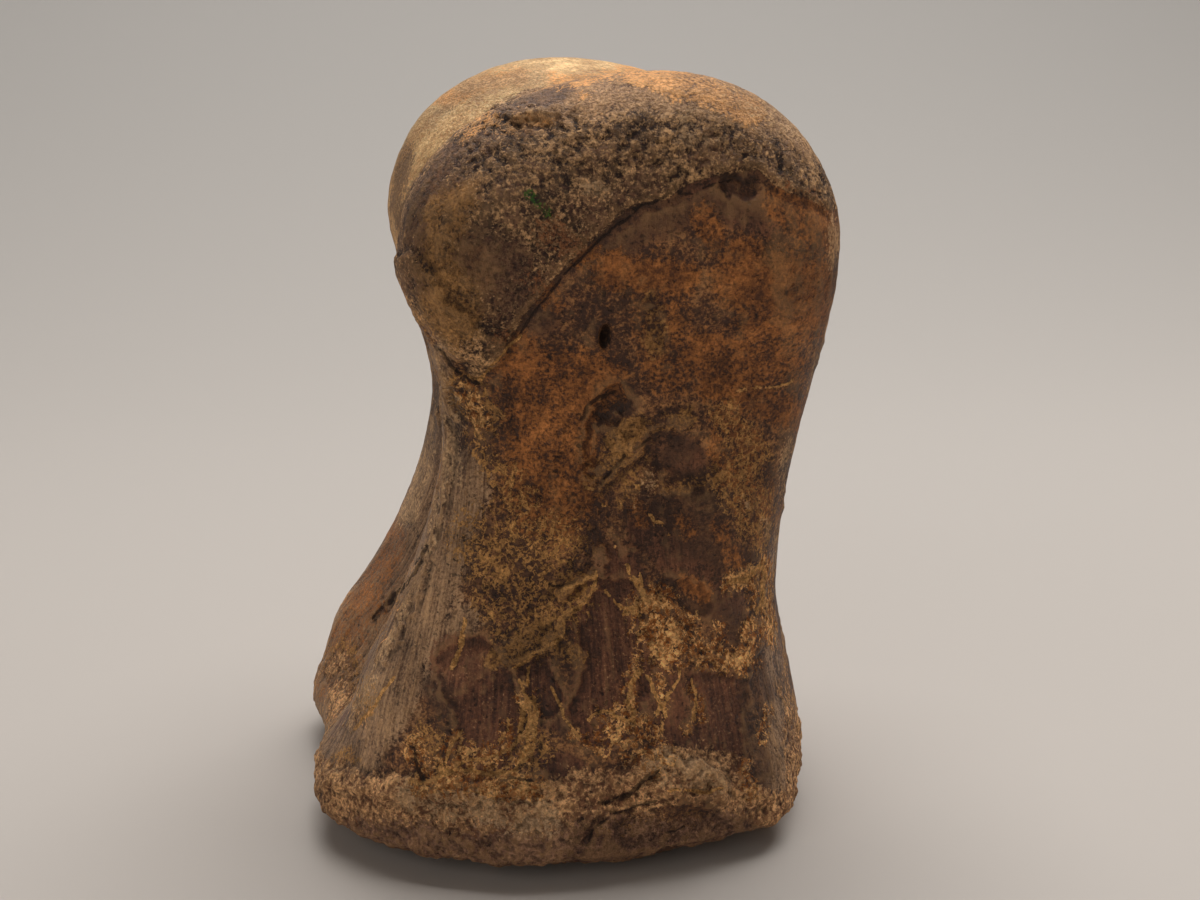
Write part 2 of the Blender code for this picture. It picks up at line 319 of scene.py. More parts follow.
# Stains and crusts: how strong, half width in mm, and the points they run through.
paintMarks = {
    "rust": (
        (1, 3, ((2, 31), (14, 30))),
        (0.8, 2, ((18, 41), (20, 37))),
        (0.8, 4, ((33, 43), (40, 38))),
        (1, 6, ((26, 31), (42, 26))),
        (0.6, 1.6, ((21, -14), (24, -20))),
        (0.6, 1.2, ((14, -12), (16, -15))),
        (0.7, 1.5, ((6, -10), (8, -12))),
        (0.8, 4, ((27, 22), (38, 24))),
        (0.7, 4, ((18, 17), (32, 15))),
        (0.8, 3, ((20, 12), (34, 6))),
        (0.5, 5, ((10, 30), (12, 14))),
        (0.7, 5, ((-14, 14), (0, 12))),
        (0.65, 8, ((-10, 9), (-8, -8))),
        (0.9, 1.5, ((-2.5, 12), (-2, -9))),
        (0.8, 1, ((20, 2), (20.5, -2.5))),
        (0.85, 2.5, ((22, 5), (26.5, 1))),
        (0.6, 4, ((24, -3), (28, -12))),
        (1, 1.5, ((15, -23.5), (18, -25))),
        (0.8, 3, ((-9, 38), (-3, 35))),
        (0.6, 2, ((-12, 30), (-8, 26))),
        (0.8, 2, ((-17, 20), (-11, 17))),
        (0.55, 4, ((-37, -16), (-42, -28), (-47, -40))),
    ),
    "ochre": (
        (1, 3.0, ((-24, 11), (-20, 6))),
        (0.85, 3, ((22.5, 5), (27, -1))),
        (0.75, 4, ((23, -5), (29, -14))),
        (0.8, 2, ((-22, 2), (-18, -5))),
        (0.7, 2.5, ((-17, -4), (-12, -9))),
        (0.9, 6, ((-20, -16), (-12, -30))),
        (0.8, 5, ((-12, -18), (-6, -26))),
        (0.8, 4, ((-19, -24), (-14, -33))),
        (0.6, 4, ((-16, -12), (-5, -16))),
        (0.9, 3, ((-30, -51), (-25, -54), (-15, -55), (-11, -52))),
        (1, 1.8, ((-50, -58), (-44, -54))),
        (0.8, 3, ((-45, -36), (-42, -44))),
        (0.5, 5, ((3, -66), (20, -69))),
        (0.7, 1.5, ((34, -48), (35, -54))),
    ),
    "olive": (
        (1, 6, ((-27, 42), (-28, 32), (-25, 24))),
        (0.7, 2, ((9, 26), (10, 18))),
        (0.62, 3.0, ((-0.5, -5.5), (3.5, -0.5))),  # broken shelf
        (0.8, 2.4, ((3, 2), (7, 4))),
        (0.6, 1.8, ((6, 2.5), (15, 6))),
        (0.4, 1.5, ((2, -6), (8, -1))),
        (0.4, 1.6, ((4, -9), (8, -6), (16, -6.5), (20, -4.5))),
        (0.7, 2, ((-4, -36), (-10, -32), (-18, -37))),
        (0.6, 1.2, ((-1, -21), (-4.5, -24), (-7.5, -25.5))),
    ),
    "crust": (
        (1, 2.0, ((8.5, -25.5), (11, -26))),
        (1, 4, ((9, -28), (10.5, -31), (12, -34))),
        (1, 3.4, ((11, -32), (15, -34))),
        (0.9, 1.4, ((16, -31), (16, -34))),
        (1, 2, ((17.5, -36.2), (26, -37.6))),
        (0.9, 1.2, ((20.6, -35), (20.8, -31.5))),
        (1, 1.6, ((25.4, -36), (26.5, -31))),
        (1, 1.5, ((23, -23.5), (28, -21), (28, -24))),
        (0.9, 1.2, ((26.5, -24), (27.5, -28))),
        (0.95, 1.3, ((6.5, -37), (5, -40), (5, -43), (6, -45), (2.5, -46), (0, -46))),
        (0.9, 0.8, ((10, -40), (11, -43), (10, -46))),
        (0.9, 2, ((5, -47), (9, -50))),
        (0.9, 0.9, ((16, -42), (17, -44), (17.5, -47))),
        (0.8, 0.8, ((15.5, -48), (15.5, -49.5))),
        (0.9, 1.5, ((-33, -51), (-31, -57))),
        (1, 1.5, ((-32, -58), (-28, -57.5), (-25, -56), (-20, -57), (-14, -57))),
        (0.9, 1.5, ((-24, -58.8), (-18, -59.6))),
        (1, 2.4, ((-31, -57.8), (-12, -58.8))),
        (1, 1.7, ((-23.5, 11), (-21, 5))),
        (0.9, 1.3, ((-28, -55), (-26, -52), (-25, -50))),
        (0.8, 1.2, ((-23, -54.5), (-19, -54), (-15.5, -51.5))),
        (0.7, 1.0, ((-15, -56), (-12.5, -53), (-11.5, -48), (-11, -43))),
        (0.9, 1.0, ((-14, -43), (-13, -50))),
        (0.8, 1.5, ((-16, -49), (-15, -54))),
        (0.9, 1.2, ((-4, -50), (0, -52))),
        (0.9, 1.2, ((25.5, -55), (26.5, -60))),
        (0.9, 0.8, ((29, -45), (28.5, -51))),
        (1, 1.5, ((29.2, -20), (29.5, -33))),
        (0.8, 1.4, ((-20, -52), (-24, -54))),
        (0.7, 3, ((2, -50), (10, -54))),
    ),
    "dark": (
        (0.95, 5.5, ((-20, 35), (-12, 26))),  # dark foot of the cap
        (0.8, 4, ((-18, 27), (-16, 17))),
        (0.7, 4, ((-10, 32), (-3, 38), (8, 46))),
        (0.5, 7, ((-16, 44), (-4, 46), (6, 50))),
        (0.75, 3, ((-34, 41), (-33, 29))),
        (0.6, 2.5, ((-37, 44), (-34.5, 51))),
        (0.55, 5, ((18, 53), (32, 50))),
        (0.7, 3, ((0, 34), (10, 40), (22, 44))),
        (0.9, 1.2, ((-19, 8), (-19, 2))),
        (0.9, 2, ((-15, 3), (-13, -1))),
        (0.8, 1.5, ((-21, 1), (-19, -2))),
        (0.9, 1.2, ((-12.5, -4), (-12, -8.5))),
        (0.7, 1.5, ((-17, 9), (-16, 8.5))),
        (0.7, 3, ((-14, -16), (-11, -22))),
        (0.9, 2.2, ((0, 6), (4, 8))),
        (1, 1.3, ((15, -5), (19, -5))),
        (0.9, 2.5, ((18, -8), (20, -12))),
        (0.5, 2.5, ((12, -10), (16, -15))),
        (0.45, 2, ((8, -9), (14, -18))),
        (1, 2.2, ((12, -24), (16, -27))),
        (0.7, 3, ((18, -17), (26, -20))),
        (1, 2.4, ((26.5, -36), (27, -56))),
        (0.7, 2.0, ((22, -30), (29, -42))),
        (0.9, 2.5, ((-29, -41), (-27, -44))),
        (1, 1, ((-6, -49), (-5.5, -49.5))),
        (0.7, 2.5, ((-8, -57), (-6, -59))),
        (0.7, 1.5, ((28, -52), (29, -60))),
        (0.6, 2, ((7, -59), (10, -64))),
        (0.6, 2, ((-21, -13), (-22, -22))),
        (0.6, 1.2, ((-31, -19), (-34, -24), (-38, -28.5))),
        # painted shadow just behind the palm ridge, so its edge stands out
        (0.8, 0.8, ((-29.4, 15), (-28.2, 7), (-28.6, -4), (-31, -15))),
        (0.7, 0.7, ((-31, -15), (-34, -24.5), (-38.5, -34), (-44.5, -44))),
        (0.6, 3, ((20, -28), (26, -33))),
        (0.8, 1.2, ((22, 47.5), (26, 47.5))),
        (0.6, 3, ((20, 44), (28, 41))),
        (0.7, 0.7, ((24, 42.5), (27, 42))),
        (0.8, 2.2, ((12.5, -1.5), (14, 1))),
        (0.8, 1.6, ((16, -8), (21, -6.5))),
        (0.7, 1.8, ((14, 14.5), (18, 14))),
        (0.8, 4, ((-38, 42), (-36, 52))),
        (1, 2.0, ((-33.5, 39), (-31.8, 44.5), (-29, 48.5), (-26.5, 51.2), (-20, 56.4), (-13, 60.4),
                    (-6, 63))),  # round the rim of the near knuckle
        (0.7, 2.5, ((-28, 47), (-21, 53), (-10, 58))),
    ),
    "taupe": (
        (1, 2.5, ((-28.5, 16), (-26.5, 6), (-27, 0), (-27.5, -5), (-28, -11), (-30, -16))),
        (1, 7, ((-26, -6), (-31, -24), (-38, -40), (-44, -52))),
        (0.7, 2.5, ((31, -20), (30.5, -40), (31, -58))),
        (1, 2.5, ((33, -33), (35, -55))),
        (1, 8, ((-34, 0), (-44, -28), (-48, -44))),
        (0.5, 1.5, ((41, 42), (42, 36))),
        (0.8, 4, ((-24, -30), (-28, -40))),
        (0.6, 2.5, ((-22, -9), (-24, -22))),
    ),
    "smooth": (
        (1, 6.5, ((0, -28), (3, -36), (1, -46))),
        (0.9, 4, ((3, -20), (4, -24))),
        (1, 6, ((-24, -38), (-18, -47), (-20, -53))),
        (1, 3, ((-11, -38), (-11, -41))),
        (1, 5, ((20, -42), (21, -56))),
        (0.9, 4, ((10, -38), (12, -50))),
        (0.9, 2.2, ((-9, -55), (-5, -56))),
        (0.6, 4, ((18, 45), (29, 40))),
        (0.55, 4.5, ((8, -14), (22, -26))),
        (0.5, 5.0, ((11, 1), (15, -2))),  # worn bowl
        (0.9, 2.2, ((-8, -43), (-7, -47))),
    ),
    "grain": (
        (1, 5, ((-45, -60), (-30, -63), (-12, -63), (0, -61), (10, -57), (22, -57))),
        (1, 6, ((-42, -66), (-10, -70))),
        (1, 4, ((22, -60), (29, -63))),
        (0.6, 4, ((2, -66), (22, -68))),
        (0.9, 2.5, ((34, -40), (35.5, -62))),
        (0.8, 3, ((-50, -56), (-44, -62))),
        (0.7, 3, ((-46, -38), (-44, -46))),
    ),
    "pale": (
        (0.8, 3.5, ((-32, -60), (-11, -64))),
        (0.7, 3, ((9, -55), (20, -58))),
        (0.6, 0.8, ((14, 58), (18, 54))),
        (0.5, 1, ((-2.5, 47), (1.5, 45))),
        (0.8, 1.8, ((-15, 64.8), (-11, 65))),
        (0.7, 1.2, ((29.5, -13.5), (31, -19))),
        (0.8, 1, ((33, 2), (32.5, -10), (30.5, -22))),
        (0.8, 2.2, ((-31, 8), (-31.5, -3), (-34, -12))),
        (0.8, 0.7, ((-28.5, 19), (-26.6, 7.5), (-26.8, -3.3), (-29.4, -16), (-32.5, -24), (-38, -36),
                    (-44, -48))),  # painted highlight down the palm edge
        (0.6, 1.2, ((41, 40), (41.5, 30))),
        (0.8, 0.8, ((25.5, -9.5), (26, -10))),
        (0.5, 1.2, ((9, -4), (7, -10))),
        (0.45, 3, ((24, 64), (34, 57))),
        (0.6, 1.5, ((-10, 58.5), (-17, 57))),
        (0.9, 1.2, ((-24, 63.5), (-17, 64.6))),
        (0.8, 1.3, ((-30, 57), (-26, 60))),
        (0.8, 1.0, ((15.6, 59.5), (14.5, 56), (16, 54))),
        (0.7, 1.4, ((-2.6, 46.4), (1, 45.6))),
        # painted highlight on the near side of the palm ridge
        (0.75, 1.3, ((-26.6, 10), (-25.4, 3), (-25.6, -5))),
    ),
    "dusty": (
        (1, 4.6, ((-11, 60), (-2, 62), (8, 63.5), (20, 62.5), (30, 58))),
        (0.75, 4.6, ((26, 61), (35, 54))),
        (0.25, 4, ((34, 55), (41, 44))),
    ),
    "sooty": (
        (0.9, 5, ((-44, -69), (-25, -71), (-5, -71.5), (25, -69))),
        (0.7, 4, ((-2, -66), (10, -68), (24, -66))),
        (0.6, 2, ((-24, -66), (-8, -66))),
    ),
    "green": (
        (1, 0.6, ((-13, 45.2), (-11, 43.6), (-8.9, 41.1))),
    ),
    "bloom": (
        (1, 2.6, ((6, 66.5), (17, 63), (27, 59))),
        (0.9, 1.6, ((-27, 61), (-21, 64), (-14, 65.5))),
        (1, 1.2, ((-20, 56.8), (-17, 57), (-15.5, 56))),
        (1, 1.0, ((-14.5, 58.2), (-9, 57.6))),
        (0.8, 1.0, ((-9, 64.2), (3, 65.8))),
        (0.8, 0.7, ((-3, 62), (-2, 62))),
        (0.8, 1.0, ((-24, 54.5), (-20, 57.5))),
        (0.6, 2.5, ((20, 66), (28, 63))),
    ),
    "coarse": (
        (1, 3, ((-21, 58), (-5, 58))),
        (0.7, 5, ((-20, 52), (20, 51))),
        (0.7, 4, ((20, 53), (38, 46))),
    ),
}

# Thin raised lines of tan crust: extra half width in mm, and points.
lineMarks = (
    (0.05, ((4.7, -19.8), (5.8, -22.8), (7, -24.9), (8.4, -26.3))),
    (0, ((7, -21.9), (7.4, -24.5), (8.4, -26.3))),
    (0, ((1.2, -24.9), (2.6, -26.8), (4.4, -27.7), (7, -27.1))),
    (0, ((4, -29), (5.5, -28.3), (7, -28.8))),
    (0, ((-0.5, -21.5), (-1.5, -24.5), (-2.5, -27), (-5.5, -28), (-6.5, -29.5), (-6.5, -32),
           (-7.5, -33.5))),
    (0, ((-7.5, -33.5), (-10, -35), (-15, -38))),
    (0, ((-1.6, -22), (-3.6, -23.6), (-6.5, -24.5))),
    (0.1, ((-23.5, -29.5), (-24, -33), (-24.5, -35.5), (-26, -38))),
    (0, ((-12.5, -37), (-12.5, -41))),
    (0, ((-9, -41), (-7, -44), (-6, -47), (-4, -50))),
    (0.1, ((-14, -40.5), (-13, -43), (-14, -50.5))),
    (0.15, ((-14, -55), (-12.8, -50.8), (-12.3, -45.5), (-12.6, -43.8))),
    (0.1, ((-11.9, -54), (-11.4, -49), (-11.2, -45.5), (-11.7, -43))),
    (0.15, ((-32.4, -57.8), (-30.6, -58.1), (-28, -57), (-25.4, -56), (-19.3, -56.5), (-14.9, -56.4),
            (-13.1, -54.3))),
    (0, ((-28, -56), (-26.3, -52.5), (-24.5, -49))),
    (0, ((-25.4, -55), (-21, -54), (-15.8, -52.5), (-14, -49.9))),
    (0, ((-17.5, -51), (-16, -48), (-16.3, -46.5))),
    (0, ((24, 10.5), (27, 11), (31, 11), (33.5, 12))),
    (0, ((-23, 13), (-21, 12.3), (-17.5, 16.3), (-14, 20))),
    (0, ((12, -59.5), (16, -59.5), (18.5, -60), (21.5, -59))),
    (0.1, ((9.6, -46.4), (10.9, -44.6), (10.5, -43.8), (9.2, -41.6), (8.4, -39.5))),
    (0, ((13.7, -37.6), (14, -40.3), (12.6, -42))),
    (0, ((11.9, -42), (11.4, -46.4), (10.9, -49))),
    (0, ((-3.5, -49), (-0.9, -45.9), (0.9, -45.5), (3.5, -46.9), (6.1, -47.6))),
    (0.1, ((7, -38.5), (5.3, -42), (4.9, -43.8), (6.1, -46.4))),
    (0, ((-36, -39.5), (-39, -44), (-43, -49))),
    (0.15, ((22.8, -23.3), (25.4, -22.8), (27.1, -21), (28.4, -20.1), (28.5, -26.3), (27.5, -28))),
    (0, ((6.3, -6), (6.6, -7.0))),  # pale flecks
    (0, ((3.6, -8.6), (3.8, -9.6))),
    (0, ((0.6, -9.3), (1.2, -10))),
    (0, ((8.8, -11), (9.2, -12.4), (11.2, -13.2))),
    (0.05, ((11.7, -14.6), (12, -14.8))),
    (0, ((9.0, -15.8), (10, -16.1))),
    (0, ((2.5, -16.8), (2.3, -17.6))),
    (0, ((-2.8, -6.3), (-1.4, -6.8))),
    (0, ((16, -40), (17, -44), (16.5, -47))),
)

# Dark cracks.
crackMarks = (
    (0.15, ((10, -56.2), (7, -58.6), (5, -60), (3, -61), (0.5, -61.6))),
    (0, ((9.5, -61.6), (5.8, -62.5), (2, -63.5))),
    (0.1, ((0.5, -64.8), (-1.5, -67.2), (-2, -68.8))),
    (0, ((-32.5, -52), (-32, -55.5), (-31, -57.5))),
    (0.15, ((-3, 5.5), (-2, 7.8), (0.2, 9.4), (2.6, 10))),
    (0, ((12, -67), (14.5, -66))),
    (0, ((-14, 20.5), (-8, 28.5), (-4, 33), (0.5, 37), (7, 42.4), (14, 45.2))),
    (0, ((-16, -57.4), (-12, -57.8))),
    (0, ((-10.6, -53), (-10.2, -47))),
    (0.15, ((-30.5, -17), (-33, -22.5), (-36.5, -26), (-39.5, -29))),
    (0, ((14, 44.6), (19, 46.2), (23, 47.2))),
    (0, ((-28, 17.3), (-25.5, 14), (-23, 12.2), (-21.3, 11.7))),
    (0, ((0.5, -5.6), (4, -1.2), (9, 2.2))),
    (0, ((-4, -22.5), (-7, -24.2), (-9, -23.4))),
)

# Carved and raised places: height in mm, half width, width of the slope at the edge, and points.
reliefMarks = (
    (-0.6, 9, 9, ((12, 30), (20, 14))),  # ligament pit, shallow
    (-1.1, 3.6, 2.2, ((0.5, 6.5), (3, 8))),  # worn hollow
    (0.75, 3.4, 2.8, ((0, -4.5), (5, 0.5))),  # broken shelf
    (0.55, 2.2, 1.9, ((6, 2), (11, 4), (15, 6))),
    (0.35, 1.0, 0.8, ((-0.5, -7.5), (2.5, -3.5), (7, -0.5))),
    (-0.5, 1.1, 0.9, ((-2.5, 5), (-2.2, 0), (-1.2, -4))),
    (-0.7, 6, 4.5, ((11, 0), (17, -3))),  # bowl beside it
    (0.9, 1.5, 0.9, ((-7, -25), (-4, -23), (-1, -21), (0.5, -17.5))),  # crest of the upper flake
    (0.5, 1.3, 1.0, ((-15, -37), (-10, -35), (-6.8, -31), (-5.5, -28), (-2.5, -26.5), (-1, -23))),
    (0.5, 4.5, 3, ((-26, -41), (-16, -36), (-9, -32), (-4, -25), (2, -17))),
    (-0.6, 6.5, 1.0, ((1, -28), (4, -36), (1, -46))),  # smooth scars where flakes came off
    (-0.6, 6, 1.0, ((-23, -38), (-19, -47), (-20, -52))),
    (-0.45, 3, 0.8, ((-11, -38), (-9, -44))),
    (-0.4, 5, 2, ((20, -42), (21, -56))),
    (-0.5, 3, 1.5, ((12, -24), (17, -27))),
    (0.35, 4, 2, ((7, -27), (11, -34), (16, -35))),  # thicker crust
    (0.35, 2.2, 1.2, ((17, -37), (25, -38), (28, -31))),
    (0.8, 3, 2, ((-46, -58), (-31, -60), (-20, -59), (-10, -58))),  # lip round the base
    (1.3, 4.8, 2.4, ((9, -56.8), (19, -59))),
    (-0.6, 0.9, 0.8, ((9.8, -56.4), (7, -58.8), (4, -60.4), (0.5, -61.8))),  # cracks in the base
    (0.5, 2.2, 1.6, ((10, -53.6), (6, -57), (3, -59))),
    (-0.35, 0.9, 0.8, ((9.5, -61.8), (5.8, -62.7), (2, -63.7))),
    (-0.5, 0.9, 0.8, ((0.5, -64.8), (-1.5, -67.2), (-2, -68.8))),
    (-0.8, 1.3, 1.0, ((16, -59.3), (18.8, -59.2))),
    (-0.6, 5, 2.5, ((6, -66.5), (20, -67.5))),
    (-1.3, 1.2, 1.0, ((36.5, -42), (36.5, -42.5))),  # notches in the right flange
    (-1.0, 1.0, 0.8, ((36.5, -47), (36.5, -47.4))),
    (-0.45, 1.1, 1.0, ((-30.5, -17), (-33, -22.5), (-36.5, -26), (-40, -29.5))),  # crack of the palm face
    (-0.8, 2.8, 2.0, ((23.5, 46.8), (26, 45))),  # chip under the cap
    (0.5, 1.5, 1.0, ((-17, 58.8), (-8, 58.8))),
    (0.9, 4.2, 1.8, ((-33.5, 31), (-28.5, 24), (-24, 19), (-20, 17.5))),  # foot of the cap, standing proud
    (-0.55, 1.5, 1.3, ((-29, 18.5), (-26.5, 14.6), (-23, 11.2), (-20, 10.6))),
    (0.65, 1.3, 1.1, ((-27, 14), (-26.5, 4), (-27, -6), (-29.5, -17), (-33.5, -27), (-38, -37))),  # crest
    (-0.7, 0.9, 0.7, ((-15.5, 57), (-9.5, 57))),
)

# Blood vessel hole in the side: a clean oval.
vesselHole = {"middle": (0.9, 19.7), "halfSize": (1.2, 2.5), "lean": 0.12, "depth": 2.2}


# 0 in the middle of the hole, 1 on its rim.
def holeReach(place):
    offset = drawOnFront(place) - vesselHole["middle"]
    offset[:, 0] -= vesselHole["lean"] * offset[:, 1]
    return np.linalg.norm(offset / vesselHole["halfSize"], axis=1)


paintSettings = {
    "frontFade": (0.12, 0.4),  # how squarely a point faces the front, from chance stains to drawn ones
    "softEdge": (0.55, 1.1),  # of a mark: share of its half width, and least, in mm
    "waves": ((4.5, 0.8, 3), (1.6, 0.35, 7)),  # ragged outlines: mm long, mm deep, seed
    "fineWaves": (2.2, 0.5, 7),
    "capWaves": (6.0, 0.9, 11),
    "capReach": 6,  # mm from the cap's edge that its height is counted
    "lineReach": 3.0,
    "grainMiddle": (-2.0, 0.0),  # mm, the axis that the grain runs round
    "grainWidth": 38,
    "grainLength": 0.07,
    "rustHeights": (20, 45),  # mm up, from none to whole
    "crustHeights": (25, 60),  # mm up, from whole to none, as the next three
    "smoothHeights": (40, 70),
    "grainHeights": (12, 17),
    "sootyHeights": (4, 7),
    "upward": (0.2, 0.7),  # how squarely a point faces up
    "dustyUpward": (0.2, 0.8),
    "dustyCap": (4, 6),  # mm over the cap's edge
    "coarseCap": (1, 5),
    "palmward": (0.2, 0.7),
    "farCapStart": (4, 8),  # mm behind the middle
    "farCapWaves": (9, 4, 67),
    "holeEdge": (0.55, 1.15),
    "unshadedRim": (1.2, 2.4),  # round the hole, where no painted shade is laid in the hollows
    "deepest": 0.12,  # mm that a hollow needs to be wholly darkened by painted shade
    "drawnLines": 0.3,
}


def paintLayer(drawn, marks):
    value = np.zeros(len(drawn))
    share, least = paintSettings["softEdge"]
    for strength, halfWidth, points in marks:
        fade = max(share * halfWidth, least)
        gap = lineGap(drawn, points)[0]
        value = np.maximum(value, strength * ramp(-gap, -halfWidth - fade, fade - halfWidth))
    return value


# Signed gap in mm to the nearest line, less its extra half width, so that a thin line stays sharp
# between the mesh's points.
def lineLayer(drawn, marks, seen):
    signed = np.full(len(drawn), paintSettings["lineReach"])
    for extra, points in marks:
        gap, side = lineGap(drawn, points)
        gap = np.maximum(gap - extra, 0)
        closer = gap < np.abs(signed)
        signed[closer] = (gap * np.where(side == 0, 1, side))[closer]
    return np.where(seen, signed, paintSettings["lineReach"])


# Height over the cap's edge in mm. The far half is the near half in a mirror.
def capHeight(place):
    folded = place * (1, 0, 1) - np.abs(place * (0, 1, 0))
    gap, side = lineGap(wander(drawOnFront(folded), place, *paintSettings["capWaves"]), capEdge)
    reach = paintSettings["capReach"]
    return np.clip(gap * side, -reach, reach)


# Grain runs down the shaft and fans out over the base.
def streakLine(place):
    settings = paintSettings
    flat = place[:, :2] - settings["grainMiddle"]
    reach = np.linalg.norm(flat, axis=1, keepdims=True)
    around = flat / reach * settings["grainWidth"]
    return np.concatenate([around, place[:, 2:] * settings["grainLength"]], axis=1)


# Stains by chance, for the sides away from the front: strength, patch size in mm, octaves and seed of
# the noise, and where on it they start and are whole.
chanceStains = {
    "rust": (0.75, 11, 4, 21, -0.05, 0.3),
    "ochre": (0.8, 9, 4, 25, 0.05, 0.35),
    "olive": (0.8, 12, 4, 29, 0.1, 0.4),
    "crust": (0.9, 8, 4, 31, 0.2, 0.4),
    "dark": (0.8, 8, 4, 37, 0.15, 0.4),
    "taupe": (0.9, 18, 3, 41, 0.0, 0.3),
    "smooth": (0.9, 13, 3, 43, 0.05, 0.3),
    "pale": (0.6, 7, 4, 53, 0.25, 0.45),
    "bloom": (0.8, 9, 4, 59, 0.1, 0.35),
    "coarse": (0.8, 12, 3, 61, 0.0, 0.3),
}


def fadeUp(height, limits):
    whole, none = limits
    return ramp(-height, -none, -whole)


def chanceLayers(place, facing, cap):
    settings = paintSettings
    height = place[:, 2]
    layers = {}
    for name, (strength, size, octaves, seed, low, high) in chanceStains.items():
        layers[name] = strength * ramp(cloud(place, size, octaves, seed), low, high)
    layers["rust"] *= ramp(height, *settings["rustHeights"])
    layers["crust"] *= fadeUp(height, settings["crustHeights"])
    layers["smooth"] *= fadeUp(height, settings["smoothHeights"])
    layers["bloom"] *= ramp(facing[:, 2], *settings["upward"])
    layers["coarse"] *= ramp(cap, *settings["coarseCap"])
    layers["taupe"] = np.maximum(ramp(-facing[:, 0], *settings["palmward"]), layers["taupe"])
    layers["grain"] = fadeUp(height + 1.5 * cloud(place, 5, 3, 47), settings["grainHeights"])
    layers["dusty"] = ramp(facing[:, 2], *settings["dustyUpward"]) * ramp(cap, *settings["dustyCap"])
    layers["sooty"] = fadeUp(height, settings["sootyHeights"])
    layers["green"] = 0.0 * height
    return layers


# Marks are drawn where the front can be seen, and scattered by chance on the other sides.
def paintBone(place, facing):
    settings = paintSettings
    front = ramp(facing @ viewAxes()[2], *settings["frontFade"])
    drawn = drawOnFront(place)
    for size, amount, seed in settings["waves"]:
        drawn = wander(drawn, place, size, amount, seed)
    cap = capHeight(place)
    chance = chanceLayers(place, facing, cap)
    layers = {}
    for name, marks in paintMarks.items():
        layers[name] = front * paintLayer(drawn, marks) + (1 - front) * chance[name]
    layers["cap"] = cap
    raggedBack = place[:, 1] + 5 * cloud(place, *settings["farCapWaves"])
    layers["farCap"] = ramp(raggedBack, *settings["farCapStart"]) * ramp(cap, 0, 3)
    # the hole layer lays painted shade inside the vessel hole
    layers["hole"] = (front > settings["drawnLines"]) * (1 - ramp(holeReach(place), *settings["holeEdge"]))
    fine = wander(drawOnFront(place), place, *settings["fineWaves"])
    for name, marks in (("line", lineMarks), ("crack", crackMarks)):
        layers[name] = lineLayer(fine, marks, front > settings["drawnLines"])
        layers[name + "Gap"] = np.abs(layers[name])
    return layers


sculptSettings = {  # mm, but for what a point faces
    "capStart": (0, 1.2),  # over the cap's edge
    "frontStart": (0.05, 0.3),  # how squarely a point faces the front
    "sideStart": (0.3, 0.7),  # how squarely it faces a side
    "palmReach": (-8, 10),
    "palmHeights": (8, 22),
    "markWaves": ((4, 1.2, 5), (1.6, 0.5, 9)),
    "holeRim": (0.35, 1.1),
    "swell": 0.35,  # broad unevenness
    "swellSize": 22,
    "valley": 3.0,  # between the two knuckles, and down the palm face
    "valleyHalfWidth": 6.0,
    "capLip": 0.32,
    "lipWidth": 3.5,
    "capGroove": 0.26,
    "grooveWidth": 0.9,
    "grooveBelow": 0.7,  # the cap's edge
    "spongeDepth": 0.07,
    "spongeSize": 1.3,
    "pitDepth": 0.35,
    "pitSize": 1.3,
    "streakDepth": 0.16,
    "streakSize": 1.7,
    "grainDepth": 0.55,
    "lumps": ((1.0, 3.2, 4, 83), (0.35, 1.2, 2, 89), (0.8, 7.0, 2, 91)),  # share, size, octaves, seed
    "skinDepth": 0.05,
    "skinSize": 1.4,
}


def keepInBox(place):
    low, high = (np.array(corner) / millimetre for corner in cadBox)
    margin = blankSettings["boxMargin"]
    return np.clip(place, low + margin, high - margin)


# How far each point moves along its normal, in mm: first the valley, the lip and the marks.
def carve(place, facing, layers):
    settings = sculptSettings
    cap = layers["cap"]
    onCap = ramp(cap, *settings["capStart"])
    front = ramp(facing @ viewAxes()[2], *settings["frontStart"])
    sideways = ramp(np.abs(facing[:, 1]), *settings["sideStart"])  # the lip shows on the two sides
    rise = settings["swell"] * cloud(place, settings["swellSize"], 3, 71)
    palmSide = ramp(-place[:, 0], *settings["palmReach"]) * ramp(place[:, 2], *settings["palmHeights"])
    rise -= settings["valley"] * palmSide * np.exp(-(place[:, 1] / settings["valleyHalfWidth"]) ** 2)
    lip = onCap * np.exp(-np.maximum(cap, 0) / settings["lipWidth"])
    rise += settings["capLip"] * lip * (0.35 + 0.65 * sideways)
    groove = (cap + settings["grooveBelow"]) / settings["grooveWidth"]
    rise -= settings["capGroove"] * np.exp(-groove ** 2) * sideways
    drawn = drawOnFront(place)
    for wave in settings["markWaves"]:
        drawn = wander(drawn, place, *wave)
    for height, halfWidth, edge, points in reliefMarks:
        gap = lineGap(drawn, points)[0]
        rise += height * front * (1 - ramp(gap, halfWidth - edge, halfWidth))
    return rise - vesselHole["depth"] * front * (1 - ramp(holeReach(place), *settings["holeRim"]))


# Then the grain of each kind of surface: pits, sponge, streaks, lumps and skin.
def roughen(place, layers):
    settings = sculptSettings
    onCap = ramp(layers["cap"], *settings["capStart"])
    pitted = onCap * (0.05 + 0.95 * layers["coarse"]) * (1 - layers["farCap"])
    pits = ramp(-cloud(place, settings["pitSize"], 2, 75), 0.1, 0.45)
    sponge = onCap * (1 - 0.7 * layers["farCap"]) * cloud(place, settings["spongeSize"], 3, 73)
    striped = np.maximum(layers["taupe"], layers["smooth"])
    streak = cloud(streakLine(place), settings["streakSize"], 3, 79)
    lumps = sum(share * cloud(place, *noiseSettings) for share, *noiseSettings in settings["lumps"])
    broken = np.maximum(layers["grain"], 0.7 * np.maximum(layers["olive"], layers["crust"]))
    rise = settings["spongeDepth"] * sponge - settings["pitDepth"] * pitted * pits
    rise += settings["streakDepth"] * (1 - onCap) * (0.3 + 0.7 * striped) * streak
    rise += settings["grainDepth"] * broken * (1 - onCap) * lumps
    return rise + settings["skinDepth"] * cloud(place, settings["skinSize"], 3, 97)


